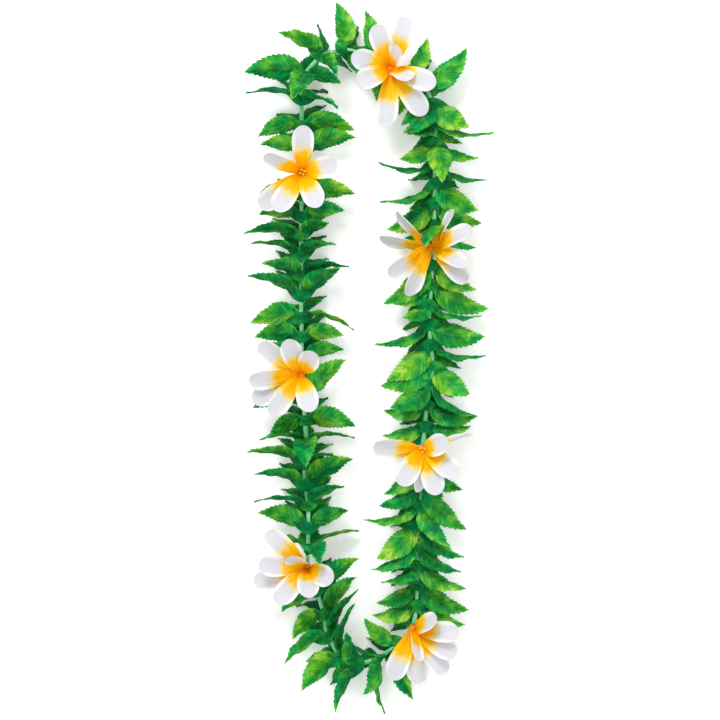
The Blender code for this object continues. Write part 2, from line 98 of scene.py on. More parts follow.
def set_node(node: bpy.types.Node, settings: dict, links: dict) -> bpy.types.Node:
    """Give a node its settings and links.

    Args:
        node: The node.
        settings: Attributes by name, a ramp's places and sRGB colours as "stops", and input values by
            socket name or number, or several at once by a tuple of names.
        links: What feeds each input, by socket name or number: an output, or a node for its first output.

    Returns:
        The same node.
    """
    for key, value in settings.items():
        if key == "stops":
            elements = node.color_ramp.elements
            while len(elements) < len(value):
                elements.new(1.0)
            for element, (place, colour) in zip(elements, value):
                element.position = place
                element.color = linear(colour)
        elif isinstance(key, tuple):
            for name, number in zip(key, value):
                node.inputs[name].default_value = number
        elif isinstance(key, str) and hasattr(node, key):
            setattr(node, key, value)
        else:
            node.inputs[key].default_value = value
    for key, source in links.items():
        output = source.outputs[0] if isinstance(source, bpy.types.Node) else source
        node.id_data.links.new(output, node.inputs[key])
    return node


def add_node(tree: bpy.types.NodeTree, kind: str, settings: dict | None = None,
             links: dict | None = None) -> bpy.types.Node:
    """Add a shader node.

    Args:
        tree: The material's node tree.
        kind: The node's type name, without "ShaderNode".
        settings: Its settings, as set_node takes them.
        links: Its links, as set_node takes them.

    Returns:
        The new node.
    """
    return set_node(tree.nodes.new("ShaderNode" + kind), settings or {}, links or {})


def new_material(name: str) -> tuple[bpy.types.Material, AddNode, bpy.types.Node]:
    """Start a node-based material.

    Args:
        name: Its name.

    Returns:
        The material, add_node for its node tree, and its Principled shader.
    """
    material = bpy.data.materials.new(name)
    material.use_nodes = True
    tree = material.node_tree
    return material, partial(add_node, tree), tree.nodes["Principled BSDF"]


def cloth_sources(add: AddNode, weave_mm: float) -> tuple[bpy.types.bpy_prop_collection, bpy.types.Node,
                                                          Socket, Socket, Socket]:
    """Add what the looks of both cloths start from.

    Args:
        add: add_node for the material's node tree.
        weave_mm: How wide the weave's bands are.

    Returns:
        For each point, its place on the flat cut cloth by axis and its distance from the midrib, how light
        it is painted, painted light and shade included, its place in the piece, and the weave.
    """
    place = add("SeparateXYZ", links={"Vector": add("UVMap", {"uv_map": "blade"})}).outputs
    across = add("Math", {"operation": "ABSOLUTE"}, {0: place["Y"]})
    tone = add("Attribute", {"attribute_name": "tone"}).outputs["Fac"]
    position = add("TexCoord").outputs["Object"]
    weave = add("TexWave", {"Scale": bands_per_metre(weave_mm), "Distortion": 2.0, "Detail": 1.0},
                {"Vector": position}).outputs["Fac"]
    return place, across, tone, position, weave


@dataclass(frozen=True)
class LeafPolyester:
    """Woven polyester leaf cloth, dyed in two greens, heat-cut and pressed with veins.

    It is painted darker along the midrib and lighter towards its edges, as painted shade in the fold, and its
    tone carries painted light and shade, which also turns lit-looking leaves warmer. The dye drifts at random
    from a cool to a warm green, so no two leaves are one flat colour. The cloth is matt, and the light comes
    a little through it.
    """

    cool: tuple[str, ...] = ("006436", "008440", "08a248", "48ba56")
    warm: tuple[str, ...] = ("126a22", "389424", "70b030", "a8c84e")
    stops: tuple[float, ...] = (0.0, 0.36, 0.68, 1.0)
    rib: str = "8cc452"
    vein_tint: float = 0.1
    rib_tint: float = 0.12
    vein_end: float = 0.78
    vein_relief: float = 2.2
    crumple_relief: float = 5.0
    roughness: float = 0.55
    # Drawn about ten times as wide as real thread, so that the weave shows at all.
    weave_mm: float = 0.5 * math.pi
    crumple_mm: float = 4.0
    blotch_mm: float = 9.0
    bath_mm: float = 16.0

    def material(self) -> bpy.types.Material:
        """Build the material.

        Returns:
            The leaf cloth.
        """
        material, add, shader = new_material("leaf_polyester")
        place, across, tone, position, weave = cloth_sources(add, self.weave_mm)
        turns = add("Math", {"operation": "MULTIPLY_ADD", 1: TEETH / TEETH_SPAN,
                             2: -(TEETH_START * TEETH / TEETH_SPAN) - self.vein_end}, {0: place["X"]})
        saw = add("Math", {"operation": "PINGPONG", 1: 0.5}, {0: turns})
        vein = add("MapRange", {RANGE: (0.0, 0.09, 1.0, 0.0), **SMOOTH}, {"Value": saw})
        rib = add("MapRange", {RANGE: (0.03, 0.08, 1.0, 0.0), **SMOOTH}, {"Value": across})

        stretched = add("CombineXYZ", links={"X": turns, "Y": across, "Z": tone})
        streak = add("TexNoise", {"Scale": 1.2, "Detail": 4.0, "Roughness": 0.6}, {"Vector": stretched})
        blotch, bath, crumple = [
            add("TexNoise", {"Scale": per_metre(size), "Detail": detail}, {"Vector": position})
            for size, detail in ((self.blotch_mm, 3.0), (self.bath_mm, 2.0), (self.crumple_mm, 2.0))]
        mixed = add("Math", {"operation": "ADD"}, {0: streak, 1: blotch})
        spread = add("MapRange", {RANGE: (0.76, 1.28, -0.22, 0.54)}, {"Value": mixed})
        # Painted shade: darker along the midrib, in the fold, and lighter towards the edges.
        painted_fold_shade = add("MapRange", {RANGE: (0.05, 0.85, -0.15, 0.12)}, {"Value": across})
        pressed = add("Math", {"operation": "ADD"}, {0: spread, 1: painted_fold_shade})
        # The tone carries painted light and shade; through the warmth it also paints lit-looking leaves
        # warmer.
        shade = add("Math", {"operation": "ADD", "use_clamp": True}, {0: pressed, 1: tone})
        drift = add("MapRange", {RANGE: (0.36, 0.64, -0.35, 0.55)}, {"Value": bath})
        warmth = add("Math", {"operation": "MULTIPLY_ADD", 1: 1.3, "use_clamp": True}, {0: tone, 2: drift})
        cool, warm = [add("ValToRGB", {"stops": list(zip(self.stops, colours))}, {"Fac": shade})
                      for colours in (self.cool, self.warm)]
        cloth = add("MixRGB", links={"Fac": warmth, "Color1": cool, "Color2": warm})
        for line, tint in ((vein, self.vein_tint), (rib, self.rib_tint)):
            share = add("Math", {"operation": "MULTIPLY", 1: tint}, {0: line})
            cloth = add("MixRGB", {"Color2": linear(self.rib)}, {"Fac": share, "Color1": cloth})

        relief = add("Math", {"operation": "MULTIPLY_ADD", 1: self.vein_relief}, {0: vein, 2: weave})
        folds = add("Math", {"operation": "MULTIPLY_ADD", 1: self.crumple_relief}, {0: crumple, 2: relief})
        bump = add("Bump", {"Strength": 0.7, "Distance": 0.15 * MM}, {"Height": folds})
        set_node(shader, {"Roughness": self.roughness, "Specular IOR Level": 0.05,
                          "Subsurface Weight": 0.25, "Subsurface Radius": (0.6, 1.0, 0.25),
                          "Subsurface Scale": 1.2 * MM}, {"Base Color": cloth, "Normal": bump})
        return material


@dataclass(frozen=True)
class PetalPolyester:
    """White woven polyester petals, hot-pressed with a raised rim and airbrushed from the throat.

    The airbrush fades from orange to golden yellow, and ends softly and a little unevenly in the white
    cloth, which is painted a shade darker inside the raised rim, as painted shade in the petal's hollow.
    """

    throat: str = "f08a00"
    orange: str = "f8a600"
    golden: str = "f9c004"
    fading: str = "f6e098"
    white: str = "e6e5e8"
    painted_hollow_shade: str = "d8d9de"
    streaks_across: float = 5.5
    vein_relief: float = 1.6
    roughness: float = 0.6
    # Drawn coarser than real thread, as on the leaves.
    weave_mm: float = 0.5 * math.pi
    mottle_mm: float = 5.0

    def material(self) -> bpy.types.Material:
        """Build the material.

        Returns:
            The petal cloth.
        """
        material, add, shader = new_material("petal_polyester")
        place, across, tone, position, weave = cloth_sources(add, self.weave_mm)
        fine = add("Math", {"operation": "MULTIPLY", 1: self.streaks_across}, {0: place["Y"]})
        streaks = add("CombineXYZ", links={"X": place["X"], "Y": fine, "Z": tone})
        vein = add("TexNoise", {"Scale": 1.6, "Detail": 3.0}, {"Vector": streaks})
        mottle = add("TexNoise", {"Scale": per_metre(self.mottle_mm), "Detail": 2.0}, {"Vector": position})
        middle = add("Math", {"operation": "MULTIPLY"}, {0: place["Y"], 1: place["Y"]})
        edge = add("Math", {"operation": "MULTIPLY_ADD", 1: 0.03}, {0: middle, 2: place["X"]})
        for grain in (vein, mottle):
            ragged = add("MapRange", {RANGE: (0.3, 0.7, -0.03, 0.03)}, {"Value": grain})
            edge = add("Math", {"operation": "ADD"}, {0: edge, 1: ragged})
        shifted = add("Math", {"operation": "SUBTRACT"}, {0: edge, 1: tone})
        centred = add("Math", {"operation": "SUBTRACT", 1: 0.5}, {0: vein})
        inner = add("MapRange", {RANGE: (0.2, 0.56, 1.1, 0.0)}, {"Value": place["X"]})
        stained = add("Math", {"operation": "MULTIPLY_ADD"}, {0: centred, 1: inner, 2: shifted})
        sprayed = [(0.0, self.throat), (0.16, self.orange), (0.47, self.golden), (0.56, self.fading),
                   (0.65, self.white)]
        cloth = add("ValToRGB", {"stops": sprayed}, {"Fac": stained})

        # Painted shade: the white cloth inside the raised rim is darkened, with faint streaks, but not in the
        # airbrushed throat.
        petal_painted_shade = add("MapRange", {RANGE: (0.55, 0.92, 0.85, 0.0), **SMOOTH}, {"Value": across})
        beyond = add("MapRange", {RANGE: (0.35, 0.62, 0.1, 1.0)}, {"Value": place["X"]})
        faint = add("MapRange", {RANGE: (0.35, 0.65, 0.92, 1.0)}, {"Value": vein})
        for limit in (beyond, faint):
            petal_painted_shade = add("Math", {"operation": "MULTIPLY"}, {0: petal_painted_shade, 1: limit})
        cloth_with_painted_shade = add("MixRGB", {"blend_type": "MULTIPLY", "Color2": linear(self.painted_hollow_shade)},
                    {"Color1": cloth, "Fac": petal_painted_shade})

        relief = add("Math", {"operation": "MULTIPLY_ADD", 1: self.vein_relief}, {0: vein, 2: weave})
        bump = add("Bump", {"Strength": 0.5, "Distance": 0.08 * MM}, {"Height": relief})
        set_node(shader, {"Roughness": self.roughness, "Specular IOR Level": 0.1,
                          "Subsurface Weight": 0.3, "Subsurface Radius": (1.0, 0.9, 0.8),
                          "Subsurface Scale": 1.2 * MM}, {"Base Color": cloth_with_painted_shade, "Normal": bump})
        return material


@dataclass(frozen=True)
class TintedPolyethylene:
    """Tinted polyethylene, extruded or moulded: milky, soft in gloss, with slow clouds in its colour."""

    name: str
    colour: str
    pale: str
    roughness: float = 0.3
    cloud_mm: float = 6.0
    drag_mm: float = 1.5
    milky: float = 0.5

    def material(self) -> bpy.types.Material:
        """Build the material.

        Returns:
            The tinted plastic.
        """
        material, add, shader = new_material(self.name)
        position = add("TexCoord").outputs["Object"]
        cloud, drag = [
            add("TexNoise", {"Scale": per_metre(size), "Detail": detail}, {"Vector": position})
            for size, detail in ((self.cloud_mm, 3.0), (self.drag_mm, 2.0))]
        colour = add("ValToRGB", {"stops": [(0.35, self.colour), (0.7, self.pale)]}, {"Fac": cloud})
        bump = add("Bump", {"Strength": 0.2, "Distance": 0.05 * MM}, {"Height": drag})
        set_node(shader, {"Roughness": self.roughness, "IOR": 1.51, "Specular IOR Level": 0.3,
                          "Subsurface Weight": self.milky, "Subsurface Radius": (0.8, 1.0, 0.8),
                          "Subsurface Scale": 1.5 * MM}, {"Base Color": colour, "Normal": bump})
        return material


@dataclass(frozen=True)
class TwistedNylon:
    """Twisted nylon thread: pale, with painted shade in the lines where its plies wind round it."""

    colour: str = "e9efe4"
    shadow: str = "b9c4b2"
    ply_mm: float = 0.9
    roughness: float = 0.45

    def material(self) -> bpy.types.Material:
        """Build the material.

        Returns:
            The thread.
        """
        material, add, shader = new_material("twisted_nylon")
        position = add("TexCoord").outputs["Object"]
        ply = add("TexWave", {"Scale": bands_per_metre(self.ply_mm), "bands_direction": "DIAGONAL"},
                  {"Vector": position}).outputs["Fac"]
        colour = add("ValToRGB", {"stops": [(0.2, self.shadow), (0.7, self.colour)]}, {"Fac": ply})
        bump = add("Bump", {"Strength": 0.6, "Distance": 0.1 * MM}, {"Height": ply})
        set_node(shader, {"Roughness": self.roughness}, {"Base Color": colour, "Normal": bump})
        return material


def unit(vector: np.ndarray) -> np.ndarray:
    """Scale a vector, or each row of an array of them, to a length of one.

    Args:
        vector: Numbers whose last axis is X, Y and Z.

    Returns:
        The same directions at unit length.
    """
    return vector / np.maximum(np.linalg.norm(vector, axis=-1, keepdims=True), 1e-12)


def ease(low: float, high: float, value: np.ndarray) -> np.ndarray:
    """Rise smoothly from nought to one between two values.

    Args:
        low: Where the rise starts.
        high: Where it ends.
        value: The values to turn.

    Returns:
        Numbers from nought to one.
    """
    share = np.clip((value - low) / (high - low), 0.0, 1.0)
    return share * share * (3.0 - 2.0 * share)


def bent(root: np.ndarray, ahead: np.ndarray, aside: np.ndarray, lean: float, bend: float, length: float,
         out: np.ndarray, turn: np.ndarray) -> tuple[np.ndarray, np.ndarray, np.ndarray]:
    """Lay a strip of cloth along an arc.

    Args:
        root: Where it starts.
        ahead: Its direction where it doesn't lean.
        aside: The direction that it leans to.
        lean: Its lean at the root, in radians.
        bend: How much more it leans at the tip.
        length: How long it is.
        out: Each point's share of the way out.
        turn: How far the cloth is turned about the arc at each point.

    Returns:
        The arc's points, and the directions across the cloth and out of it.
    """
    leans, turn = (lean + bend * out)[..., None], turn[..., None]
    arc = (root + ahead * length * (np.sin(leans) - math.sin(lean)) / bend
           + aside * length * (math.cos(lean) - np.cos(leans)) / bend)
    heading = ahead * np.cos(leans) + aside * np.sin(leans)
    face = aside * np.cos(leans) - ahead * np.sin(leans)
    level = np.cross(heading, face)
    return arc, level * np.cos(turn) + face * np.sin(turn), face * np.cos(turn) - level * np.sin(turn)


class Finish(Enum):
    """Which of a piece's materials a face wears."""

    MAIN = 0
    SECOND = 1
    THIRD = 2


@dataclass
class Skin:
    """The points and faces of one piece, gathered part by part."""

    points: list[np.ndarray] = field(default_factory=list)
    maps: list[np.ndarray] = field(default_factory=list)
    tones: list[np.ndarray] = field(default_factory=list)
    faces: list[np.ndarray] = field(default_factory=list)
    finishes: list[np.ndarray] = field(default_factory=list)
    count: int = 0

    def add_points(self, points: np.ndarray, flat: np.ndarray, tone: float | np.ndarray) -> np.ndarray:
        """Add a grid of points.

        Args:
            points: Rows and columns of places.
            flat: Each point's place on the flat cut cloth.
            tone: How light it is painted, painted light and shade included.

        Returns:
            The points' numbers, in rows and columns.
        """
        rows, columns = points.shape[:2]
        self.points.append(points.reshape(-1, 3))
        self.maps.append(flat.reshape(-1, 2))
        self.tones.append(np.broadcast_to(tone, (rows, columns)).ravel())
        numbers = np.arange(self.count, self.count + rows * columns).reshape(rows, columns)
        self.count += rows * columns
        return numbers

    def add_faces(self, grid: np.ndarray, finish: Finish) -> None:
        """Add the quads of a grid of point numbers.

        Args:
            grid: Point numbers in rows and columns.
            finish: The material that the faces wear.
        """
        quads = np.stack((grid[:-1, :-1], grid[:-1, 1:], grid[1:, 1:], grid[1:, :-1]), axis=-1).reshape(-1, 4)
        self.faces.append(quads)
        self.finishes.append(np.full(len(quads), finish.value))

    def add_blade(self, middle: np.ndarray, flat: np.ndarray, tone: float | np.ndarray,
                  thickness: float) -> None:
        """Add a piece of cloth with two faces and a cut edge.

        Args:
            middle: The middle surface, in rows from root to tip and columns across.
            flat: Each point's place on the flat cut cloth.
            tone: How light it is painted, painted light and shade included.
            thickness: How thick the cloth is.
        """
        # Cloth that would go through the floor lies on it, with its two faces apart.
        upper_floor, lower_floor = 0.07 * MM, 0.03 * MM
        middle[..., 2] = np.maximum(middle[..., 2], 0.75 * thickness)
        normal = unit(np.cross(np.gradient(middle, axis=1), np.gradient(middle, axis=0)))
        upper, lower = middle + normal * thickness / 2.0, middle - normal * thickness / 2.0
        for sheet, floor in ((upper, upper_floor), (lower, lower_floor)):
            sheet[..., 2] = np.maximum(sheet[..., 2], floor)
        top, bottom = self.add_points(upper, flat, tone), self.add_points(lower, flat, tone)
        rim = np.stack([np.concatenate((side[0, :-1], side[:-1, -1], side[-1, :0:-1], side[::-1, 0]))
                        for side in (top, bottom)])
        for grid in (top[:, ::-1], bottom, rim):
            self.add_faces(grid, Finish.MAIN)

    def add_turned(self, start: np.ndarray, end: np.ndarray, profile: list[tuple[float, float]], sides: int,
                   finish: Finish, tone: float = 0.0, mirrored: bool = True) -> None:
        """Add a body turned about an axis, such as a tube.

        Args:
            start: Where the axis starts.
            end: Where it ends.
            profile: Points of its closed section: the distance from the start and the radius.
            sides: How many sides it has round the axis.
            finish: The material that it wears.
            tone: How light its colour is.
            mirrored: Whether the same points follow from the end.
        """
        # A place below nought is measured from the end.
        far = [(-max(place, 1e-9), radius) for place, radius in reversed(profile)] if mirrored else []
        axis = unit(end - start)
        across = unit(np.cross(axis, UP))
        upward = np.cross(across, axis)
        angles = np.linspace(0.0, math.tau, sides + 1)
        ring = across * np.cos(angles)[:, None] + upward * np.sin(angles)[:, None]
        rows = [(end if place < 0.0 else start) + axis * place + ring * radius
                for place, radius in profile + far + profile[:1]]
        flat = np.stack(np.meshgrid(angles / math.tau, np.linspace(0.0, 1.0, len(rows))), axis=-1)
        self.add_faces(self.add_points(np.array(rows), flat, tone), finish)

    def piece(self, name: str, nodes: list[str], materials: list[bpy.types.Material]) -> None:
        """Make the object, and set it in its nodes' place.

        Args:
            name: The piece's name.
            nodes: The CAD nodes that it stands for.
            materials: Its materials, in the order of Finish.
        """
        mesh = bpy.data.meshes.new(name)
        mesh.from_pydata(np.concatenate(self.points), [], np.concatenate(self.faces))
        for material in materials:
            mesh.materials.append(material)
        mesh.polygons.foreach_set("material_index", np.concatenate(self.finishes).astype(np.int32))
        mesh.polygons.foreach_set("use_smooth", np.ones(len(mesh.polygons), dtype=bool))
        corners = np.empty(len(mesh.loops), dtype=np.int32)
        mesh.loops.foreach_get("vertex_index", corners)
        mesh.uv_layers.new(name="blade").data.foreach_set(
            "uv", np.concatenate(self.maps)[corners].astype(np.float32).ravel())
        mesh.attributes.new("tone", "FLOAT", "POINT").data.foreach_set(
            "value", np.concatenate(self.tones).astype(np.float32))
        mesh.update()
        item = bpy.data.objects.new(name, mesh)
        bpy.context.scene.collection.objects.link(item)
        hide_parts(*nodes)
        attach(item, "root")
        LOG.info("%s: %d faces for %s", name, len(mesh.polygons), ", ".join(nodes))


class Petal(NamedTuple):
    """How far a petal's tip lies across and up the lei from the collar, in millimetres, and its turn."""

    across: float
    up: float
    turn: float = 0.0
    behind: bool = False


class Leaf(NamedTuple):
    """A leaf's angles in degrees: round the string, its lean along it at root and tip, and its twist."""

    azimuth: float
    root_lean: float
    tip_lean: float
    twist: float
    size: float
    # How light it is painted: painted light for leaves that turn or stand to the front, painted shade for
    # hidden ones.
    tone: float


# The place and breadth of a leaf's tip, in a whorl's row.
Tip = tuple[float, float, float]


@dataclass(frozen=True)
class FlowerPlan:
    """A flower: where it sits, whether its face is to the front, its petals and the whorls after it.

    A whorl's row gives each shown leaf's tip: how far it lies into the loop and forward along the string,
    in millimetres, and how much of its breadth faces the front. The third leaf is in front. The whorl that
    pair counts to shares a node with the next one, and nubs counts the nubs in the flower's throat.
    """

    name: str
    centre: tuple[float, float]
    faces_front: bool
    petals: tuple[Petal, ...]
    whorls: tuple[tuple[Tip, ...], ...]
    pair: int = 0
    nubs: int = 0


ROUTE_MM = (
    (-46.8, -160.3), (-46.0, -140.0), (-46.0, -111.0), (-49.5, -84.0), (-47.5, -58.0), (-49.9, -31.0),
    (-51.5, -9.8), (-51.0, 8.2), (-51.5, 39.4), (-51.5, 78.4), (-51.5, 113.5), (-50.5, 147.8),
    (-50.7, 179.8), (-51.5, 203.0), (-49.5, 222.0), (-40.0, 236.5), (-24.0, 243.5), (-4.0, 241.5),
    (17.9, 229.0), (38.0, 221.0), (49.5, 207.0), (53.0, 181.0), (52.6, 135.3), (52.3, 107.3), (50.4, 89.3),
    (50.7, 62.8), (48.4, 41.7), (48.4, 22.2), (51.5, -1.2), (49.5, -16.8), (46.8, -31.6), (45.2, -48.0),
    (43.2, -68.3), (42.1, -107.3), (39.0, -126.0), (39.0, -166.5), (38.4, -194.0), (34.5, -210.0),
    (22.0, -222.0), (8.0, -231.5), (-6.5, -236.5), (-19.5, -231.0), (-29.0, -218.5), (-33.5, -202.4),
    (-36.0, -185.3), (-42.0, -171.5),
)

FLOWERS = (
    FlowerPlan("flower_lower_left", (-46.8, -160.3), True, (
        Petal(-32, 28), Petal(-38, 3, 10), Petal(-24, -27), Petal(1, -22, 10), Petal(20, -9),
        Petal(-13, 9, 50), Petal(-38, -11, 0, True)), (
        ((-28, 4, .4), (39, 13, .12), (10, -14, .8)),
        ((-39, 10, .6), (22, 8, 1.)),
        ((-41, 3, .1), (29, 13, .3)),
        ((-38, 11, .35), (38, 15, .8)),
        ((-44, 5, .35), (24, 4, .1)),
        ((-36, 0, .1), (37, 0, .12), (0, -24, .8)),
        ((-26, -14, 1.), (38, -11, 1.)),
        ((-39, -6, .5), (36, 26, .4))), 4),
    FlowerPlan("flower_middle_left", (-51.5, -9.8), True, (
        Petal(-33, 24, 20), Petal(-11, 27), Petal(10, 17), Petal(-41, -5, 30), Petal(-24, -31, 20),
        Petal(8, -29), Petal(-34, -19, 0, True)), (
        ((-34, 2, .5), (25, 3, .4)),
        ((-36, -2, 1.), (25, -1, 1.)),
        ((-38, -8, 1.), (42, -12, .1)),
        ((-41, 16, .4), (30, 19, .5)),
        ((-30, 9, .55), (37, 6, .25)),
        ((-39, 9, .1), (27, 8, .2)),
        ((-44, -2, .4), (21, 7, .7)),
        ((-26, -2, .15), (33, 2, 1.)),
        ((-30, 0, .5), (41, 1, .4))), 5),
    FlowerPlan("flower_upper_left", (-50.5, 147.8), True, (
        Petal(1, 36), Petal(27, 5), Petal(13, -28), Petal(-21, -31), Petal(-29, 13, 45),
        Petal(-31, -26, 0, True)), (
        ((-27, 2, .15), (41, 9, .12)),
        ((-34, -10, .6), (40, -8, .6)),
        ((-43, 0, .1), (30, -6, .3)),
        ((-45, -22, 1.), (20, 4, .8), (0, -27, .8)),
        ((-30, -22, 1.), (21, 2, .7)),
        ((-36, -9, 1.), (20, 15, .9)),
        ((-30, -18, .3), (34, 24, .8))), 2, 4),
    FlowerPlan("flower_top", (17.9, 228.0), True, (
        Petal(-12, 33), Petal(13, 40), Petal(-31, 8), Petal(-27, -13), Petal(-4, -46), Petal(27, -37),
        Petal(35, -14), Petal(14, -10, 45), Petal(6, 15, 40)), (
        ((-26, -2, .9), (24, 5, .6)),
        ((-44, -6, .9), (32, 12, .4)),
        ((-22, 24, 1.), (27, 16, .5)),
        ((-45, 8, .1), (23, 7, .3)),
        ((-32, 9, .5), (27, 11, .9), (-5, 32, .8)),
        ((-40, 10, .2), (44, -2, .15)),
        ((-33, 19, .9), (42, 15, .15)),
        ((-36, 13, 1.), (36, 19, 1.)),
        ((-32, 16, .6), (30, 13, .6), (6, 19, .5))), 6),
    FlowerPlan("flower_upper_right", (50.4, 89.3), False, (
        Petal(-27, 29, 70), Petal(-41, 8, 62), Petal(-34, -23, 35), Petal(-19, -40, 45),
        Petal(17, 31, 72), Petal(31, 15, 40), Petal(26, -17, 40), Petal(26, -30, 30)), (
        ((-33, 19, .7), (37, 31, .7)),
        ((-45, 15, .1), (20, 11, .2)),
        ((-41, 5, .1), (19, 9, .7)),
        ((-43, 9, 1.), (42, 10, .35)),
        ((-41, 11, .15), (37, 22, 1.)),
        ((-29, 20, 1.), (40, 16, .9)),
        ((-39, 18, .2), (27, 19, .8)),
        ((-40, 1, .1), (32, 6, .45)),
        ((-35, -7, .4), (18, 5, .8))), 6),
    FlowerPlan("flower_middle_right", (43.2, -68.3), False, (
        Petal(-39, 2, 25), Petal(-18, -29, 5), Petal(20, 7, 15), Petal(38, 12, 74), Petal(27, -21, 10),
        Petal(11, -37), Petal(-5, -35, 60)), (
        ((-31, 16, .1), (28, 21, .6)),
        ((-37, 32, .2), (31, 16, .1)),
        ((-26, 26, .35), (42, 16, .25)),
        ((-37, 22, .5), (29, 26, 1.)),
        ((-33, 20, .3), (35, 17, .35)),
        ((-37, 16, .5), (28, 9, .2)),
        ((-40, 17, .6), (30, 13, .9)),
        ((-38, 9, .35), (33, 9, .3))), 4, 3),
    FlowerPlan("flower_foot", (35.5, -208.0), True, (
        Petal(-17, -40), Petal(26, -35), Petal(36, -3, 15), Petal(34, -20), Petal(3, -23, 60),
        Petal(18, 8, 40), Petal(4, -38, 0, True)), (
        ((-40, 19, .1), (18, 4, .9)),
        ((-43, 17, .1), (18, 14, .3), (-18, 25, .9)),
        ((-37, 14, .4), (25, 10, .5)),
        ((-39, -2, 1.), (36, 20, .15)),
        ((-37, -13, .7), (34, 24, .2)),
        ((-27, -17, 1.), (30, 21, .4)),
        ((-30, -8, .8), (38, 12, .4))), 0),
)


@dataclass(frozen=True)
class Seat:
    """A place on the string that holds a flower, at step 0, or one of the whorls after it."""

    plan: FlowerPlan
    step: int
    hub: np.ndarray
    arriving: np.ndarray
    leaving: np.ndarray
    under_petals: bool

    @property
    def along(self) -> np.ndarray:
        """The string's direction through the seat."""
        return unit(self.arriving + self.leaving)

    @property
    def opens_pair(self) -> bool:
        """Whether this is the first of two whorls on one length of tube."""
        return self.step > 0 and self.step == self.plan.pair

    @property
    def closes_pair(self) -> bool:
        """Whether this is the second of two such whorls."""
        return self.plan.pair > 0 and self.step == self.plan.pair + 1


@dataclass(frozen=True)
class Route:
    """The string's closed path, and the seats along it."""

    height: float = 26.0 * MM
    centre: tuple[float, float] = (1.197 * MM, 2.483 * MM)
    steps: int = 40
    reach_of_face: float = 40.0 * MM
    reach_of_side: float = 38.0 * MM

    def curve(self) -> tuple[np.ndarray, np.ndarray]:
        """Draw the path.

        Returns:
            The path's points and how far along it each lies.
        """
        knots = np.array(ROUTE_MM) * MM
        before, after, beyond = np.roll(knots, 1, 0), np.roll(knots, -1, 0), np.roll(knots, -2, 0)
        t = np.linspace(0.0, 1.0, self.steps, endpoint=False)[None, :, None]
        leave, arrive = (after - before)[:, None] / 2.0, (beyond - knots)[:, None] / 2.0
        line = ((2 * t**3 - 3 * t**2 + 1) * knots[:, None] + (t**3 - 2 * t**2 + t) * leave
                + (3 * t**2 - 2 * t**3) * after[:, None] + (t**3 - t**2) * arrive).reshape(-1, 2)
        steps = np.linalg.norm(np.roll(line, -1, 0) - line, axis=1)
        return line, np.concatenate(([0.0], np.cumsum(steps)))

    def seats(self) -> list[Seat]:
        """Find every seat, in threading order.

        Returns:
            The seats of the flowers and whorls.
        """
        line, along = self.curve()
        stations = [along[int(np.argmin(np.linalg.norm(line - np.array(plan.centre) * MM, axis=1)))]
                    for plan in FLOWERS]
        places = []
        for index, plan in enumerate(FLOWERS):
            start, end = stations[index], stations[(index + 1) % len(FLOWERS)]
            end += along[-1] if end <= start else 0.0
            pitch = (end - start) / (len(plan.whorls) + 1)
            places += [(plan, step, start + step * pitch) for step in range(len(plan.whorls) + 1)]
        loop = np.vstack((line, line[:1]))
        hubs = [np.array((np.interp(far % along[-1], along, loop[:, 0]) - self.centre[0],
                          np.interp(far % along[-1], along, loop[:, 1]) - self.centre[1], self.height))
                for _, _, far in places]
        seats = []
        for index, (plan, step, _) in enumerate(places):
            here = hubs[index]
            under = any(other[1] == 0 and np.linalg.norm(hub - here) < (
                self.reach_of_face if other[0].faces_front else self.reach_of_side)
                for other, hub in zip(places, hubs))
            seats.append(Seat(plan, step, here, unit(here - hubs[index - 1]),
                              unit(hubs[(index + 1) % len(hubs)] - here), under))
        return seats


@dataclass(frozen=True)
class SpacerTubes:
    """The thread, and the lengths of plastic tube on it that keep the whorls apart."""

    thread_radius: float = 0.6 * MM
    thread_sides: int = 12
    radius: float = 1.7 * MM
    bore: float = 1.05 * MM
    end_gap: float = 1.15 * MM
    collar_gap: float = 3.5 * MM
    pair_gap: float = 0.2 * MM
    chamfer: float = 0.2 * MM
    sides: int = 20

    def add_tube(self, skin: Skin, start: np.ndarray, end: np.ndarray, finish: Finish) -> None:
        """Add one tube with a bore and rounded ends.

        Args:
            skin: The piece that it is part of.
            start: The middle of its one end.
            end: The middle of its other end.
            finish: The material that it wears.
        """
        shoulder = self.chamfer * 0.3
        skin.add_turned(start, end, [(0.0, self.bore), (0.0, self.radius - self.chamfer),
                                     (shoulder, self.radius - shoulder), (self.chamfer, self.radius)],
                        self.sides, finish)

    def mesh(self, seats: list[Seat], materials: list[bpy.types.Material]) -> None:
        """Build the thread and its tubes.

        Args:
            seats: The seats in threading order.
            materials: The tube's plastic and the thread's nylon.
        """
        skin = Skin()
        for seat, following in zip(seats, seats[1:] + seats[:1]):
            skin.add_turned(seat.hub, following.hub, [(0.0, self.thread_radius)], self.thread_sides,
                            Finish.SECOND)
            if seat.opens_pair:
                continue
            near, far = [self.collar_gap if end.step == 0 else self.end_gap for end in (seat, following)]
            self.add_tube(skin, seat.hub + seat.leaving * near, following.hub - seat.leaving * far,
                          Finish.MAIN)
        skin.piece("thread_and_spacer_tubes", ["string_with_tubes"], materials)


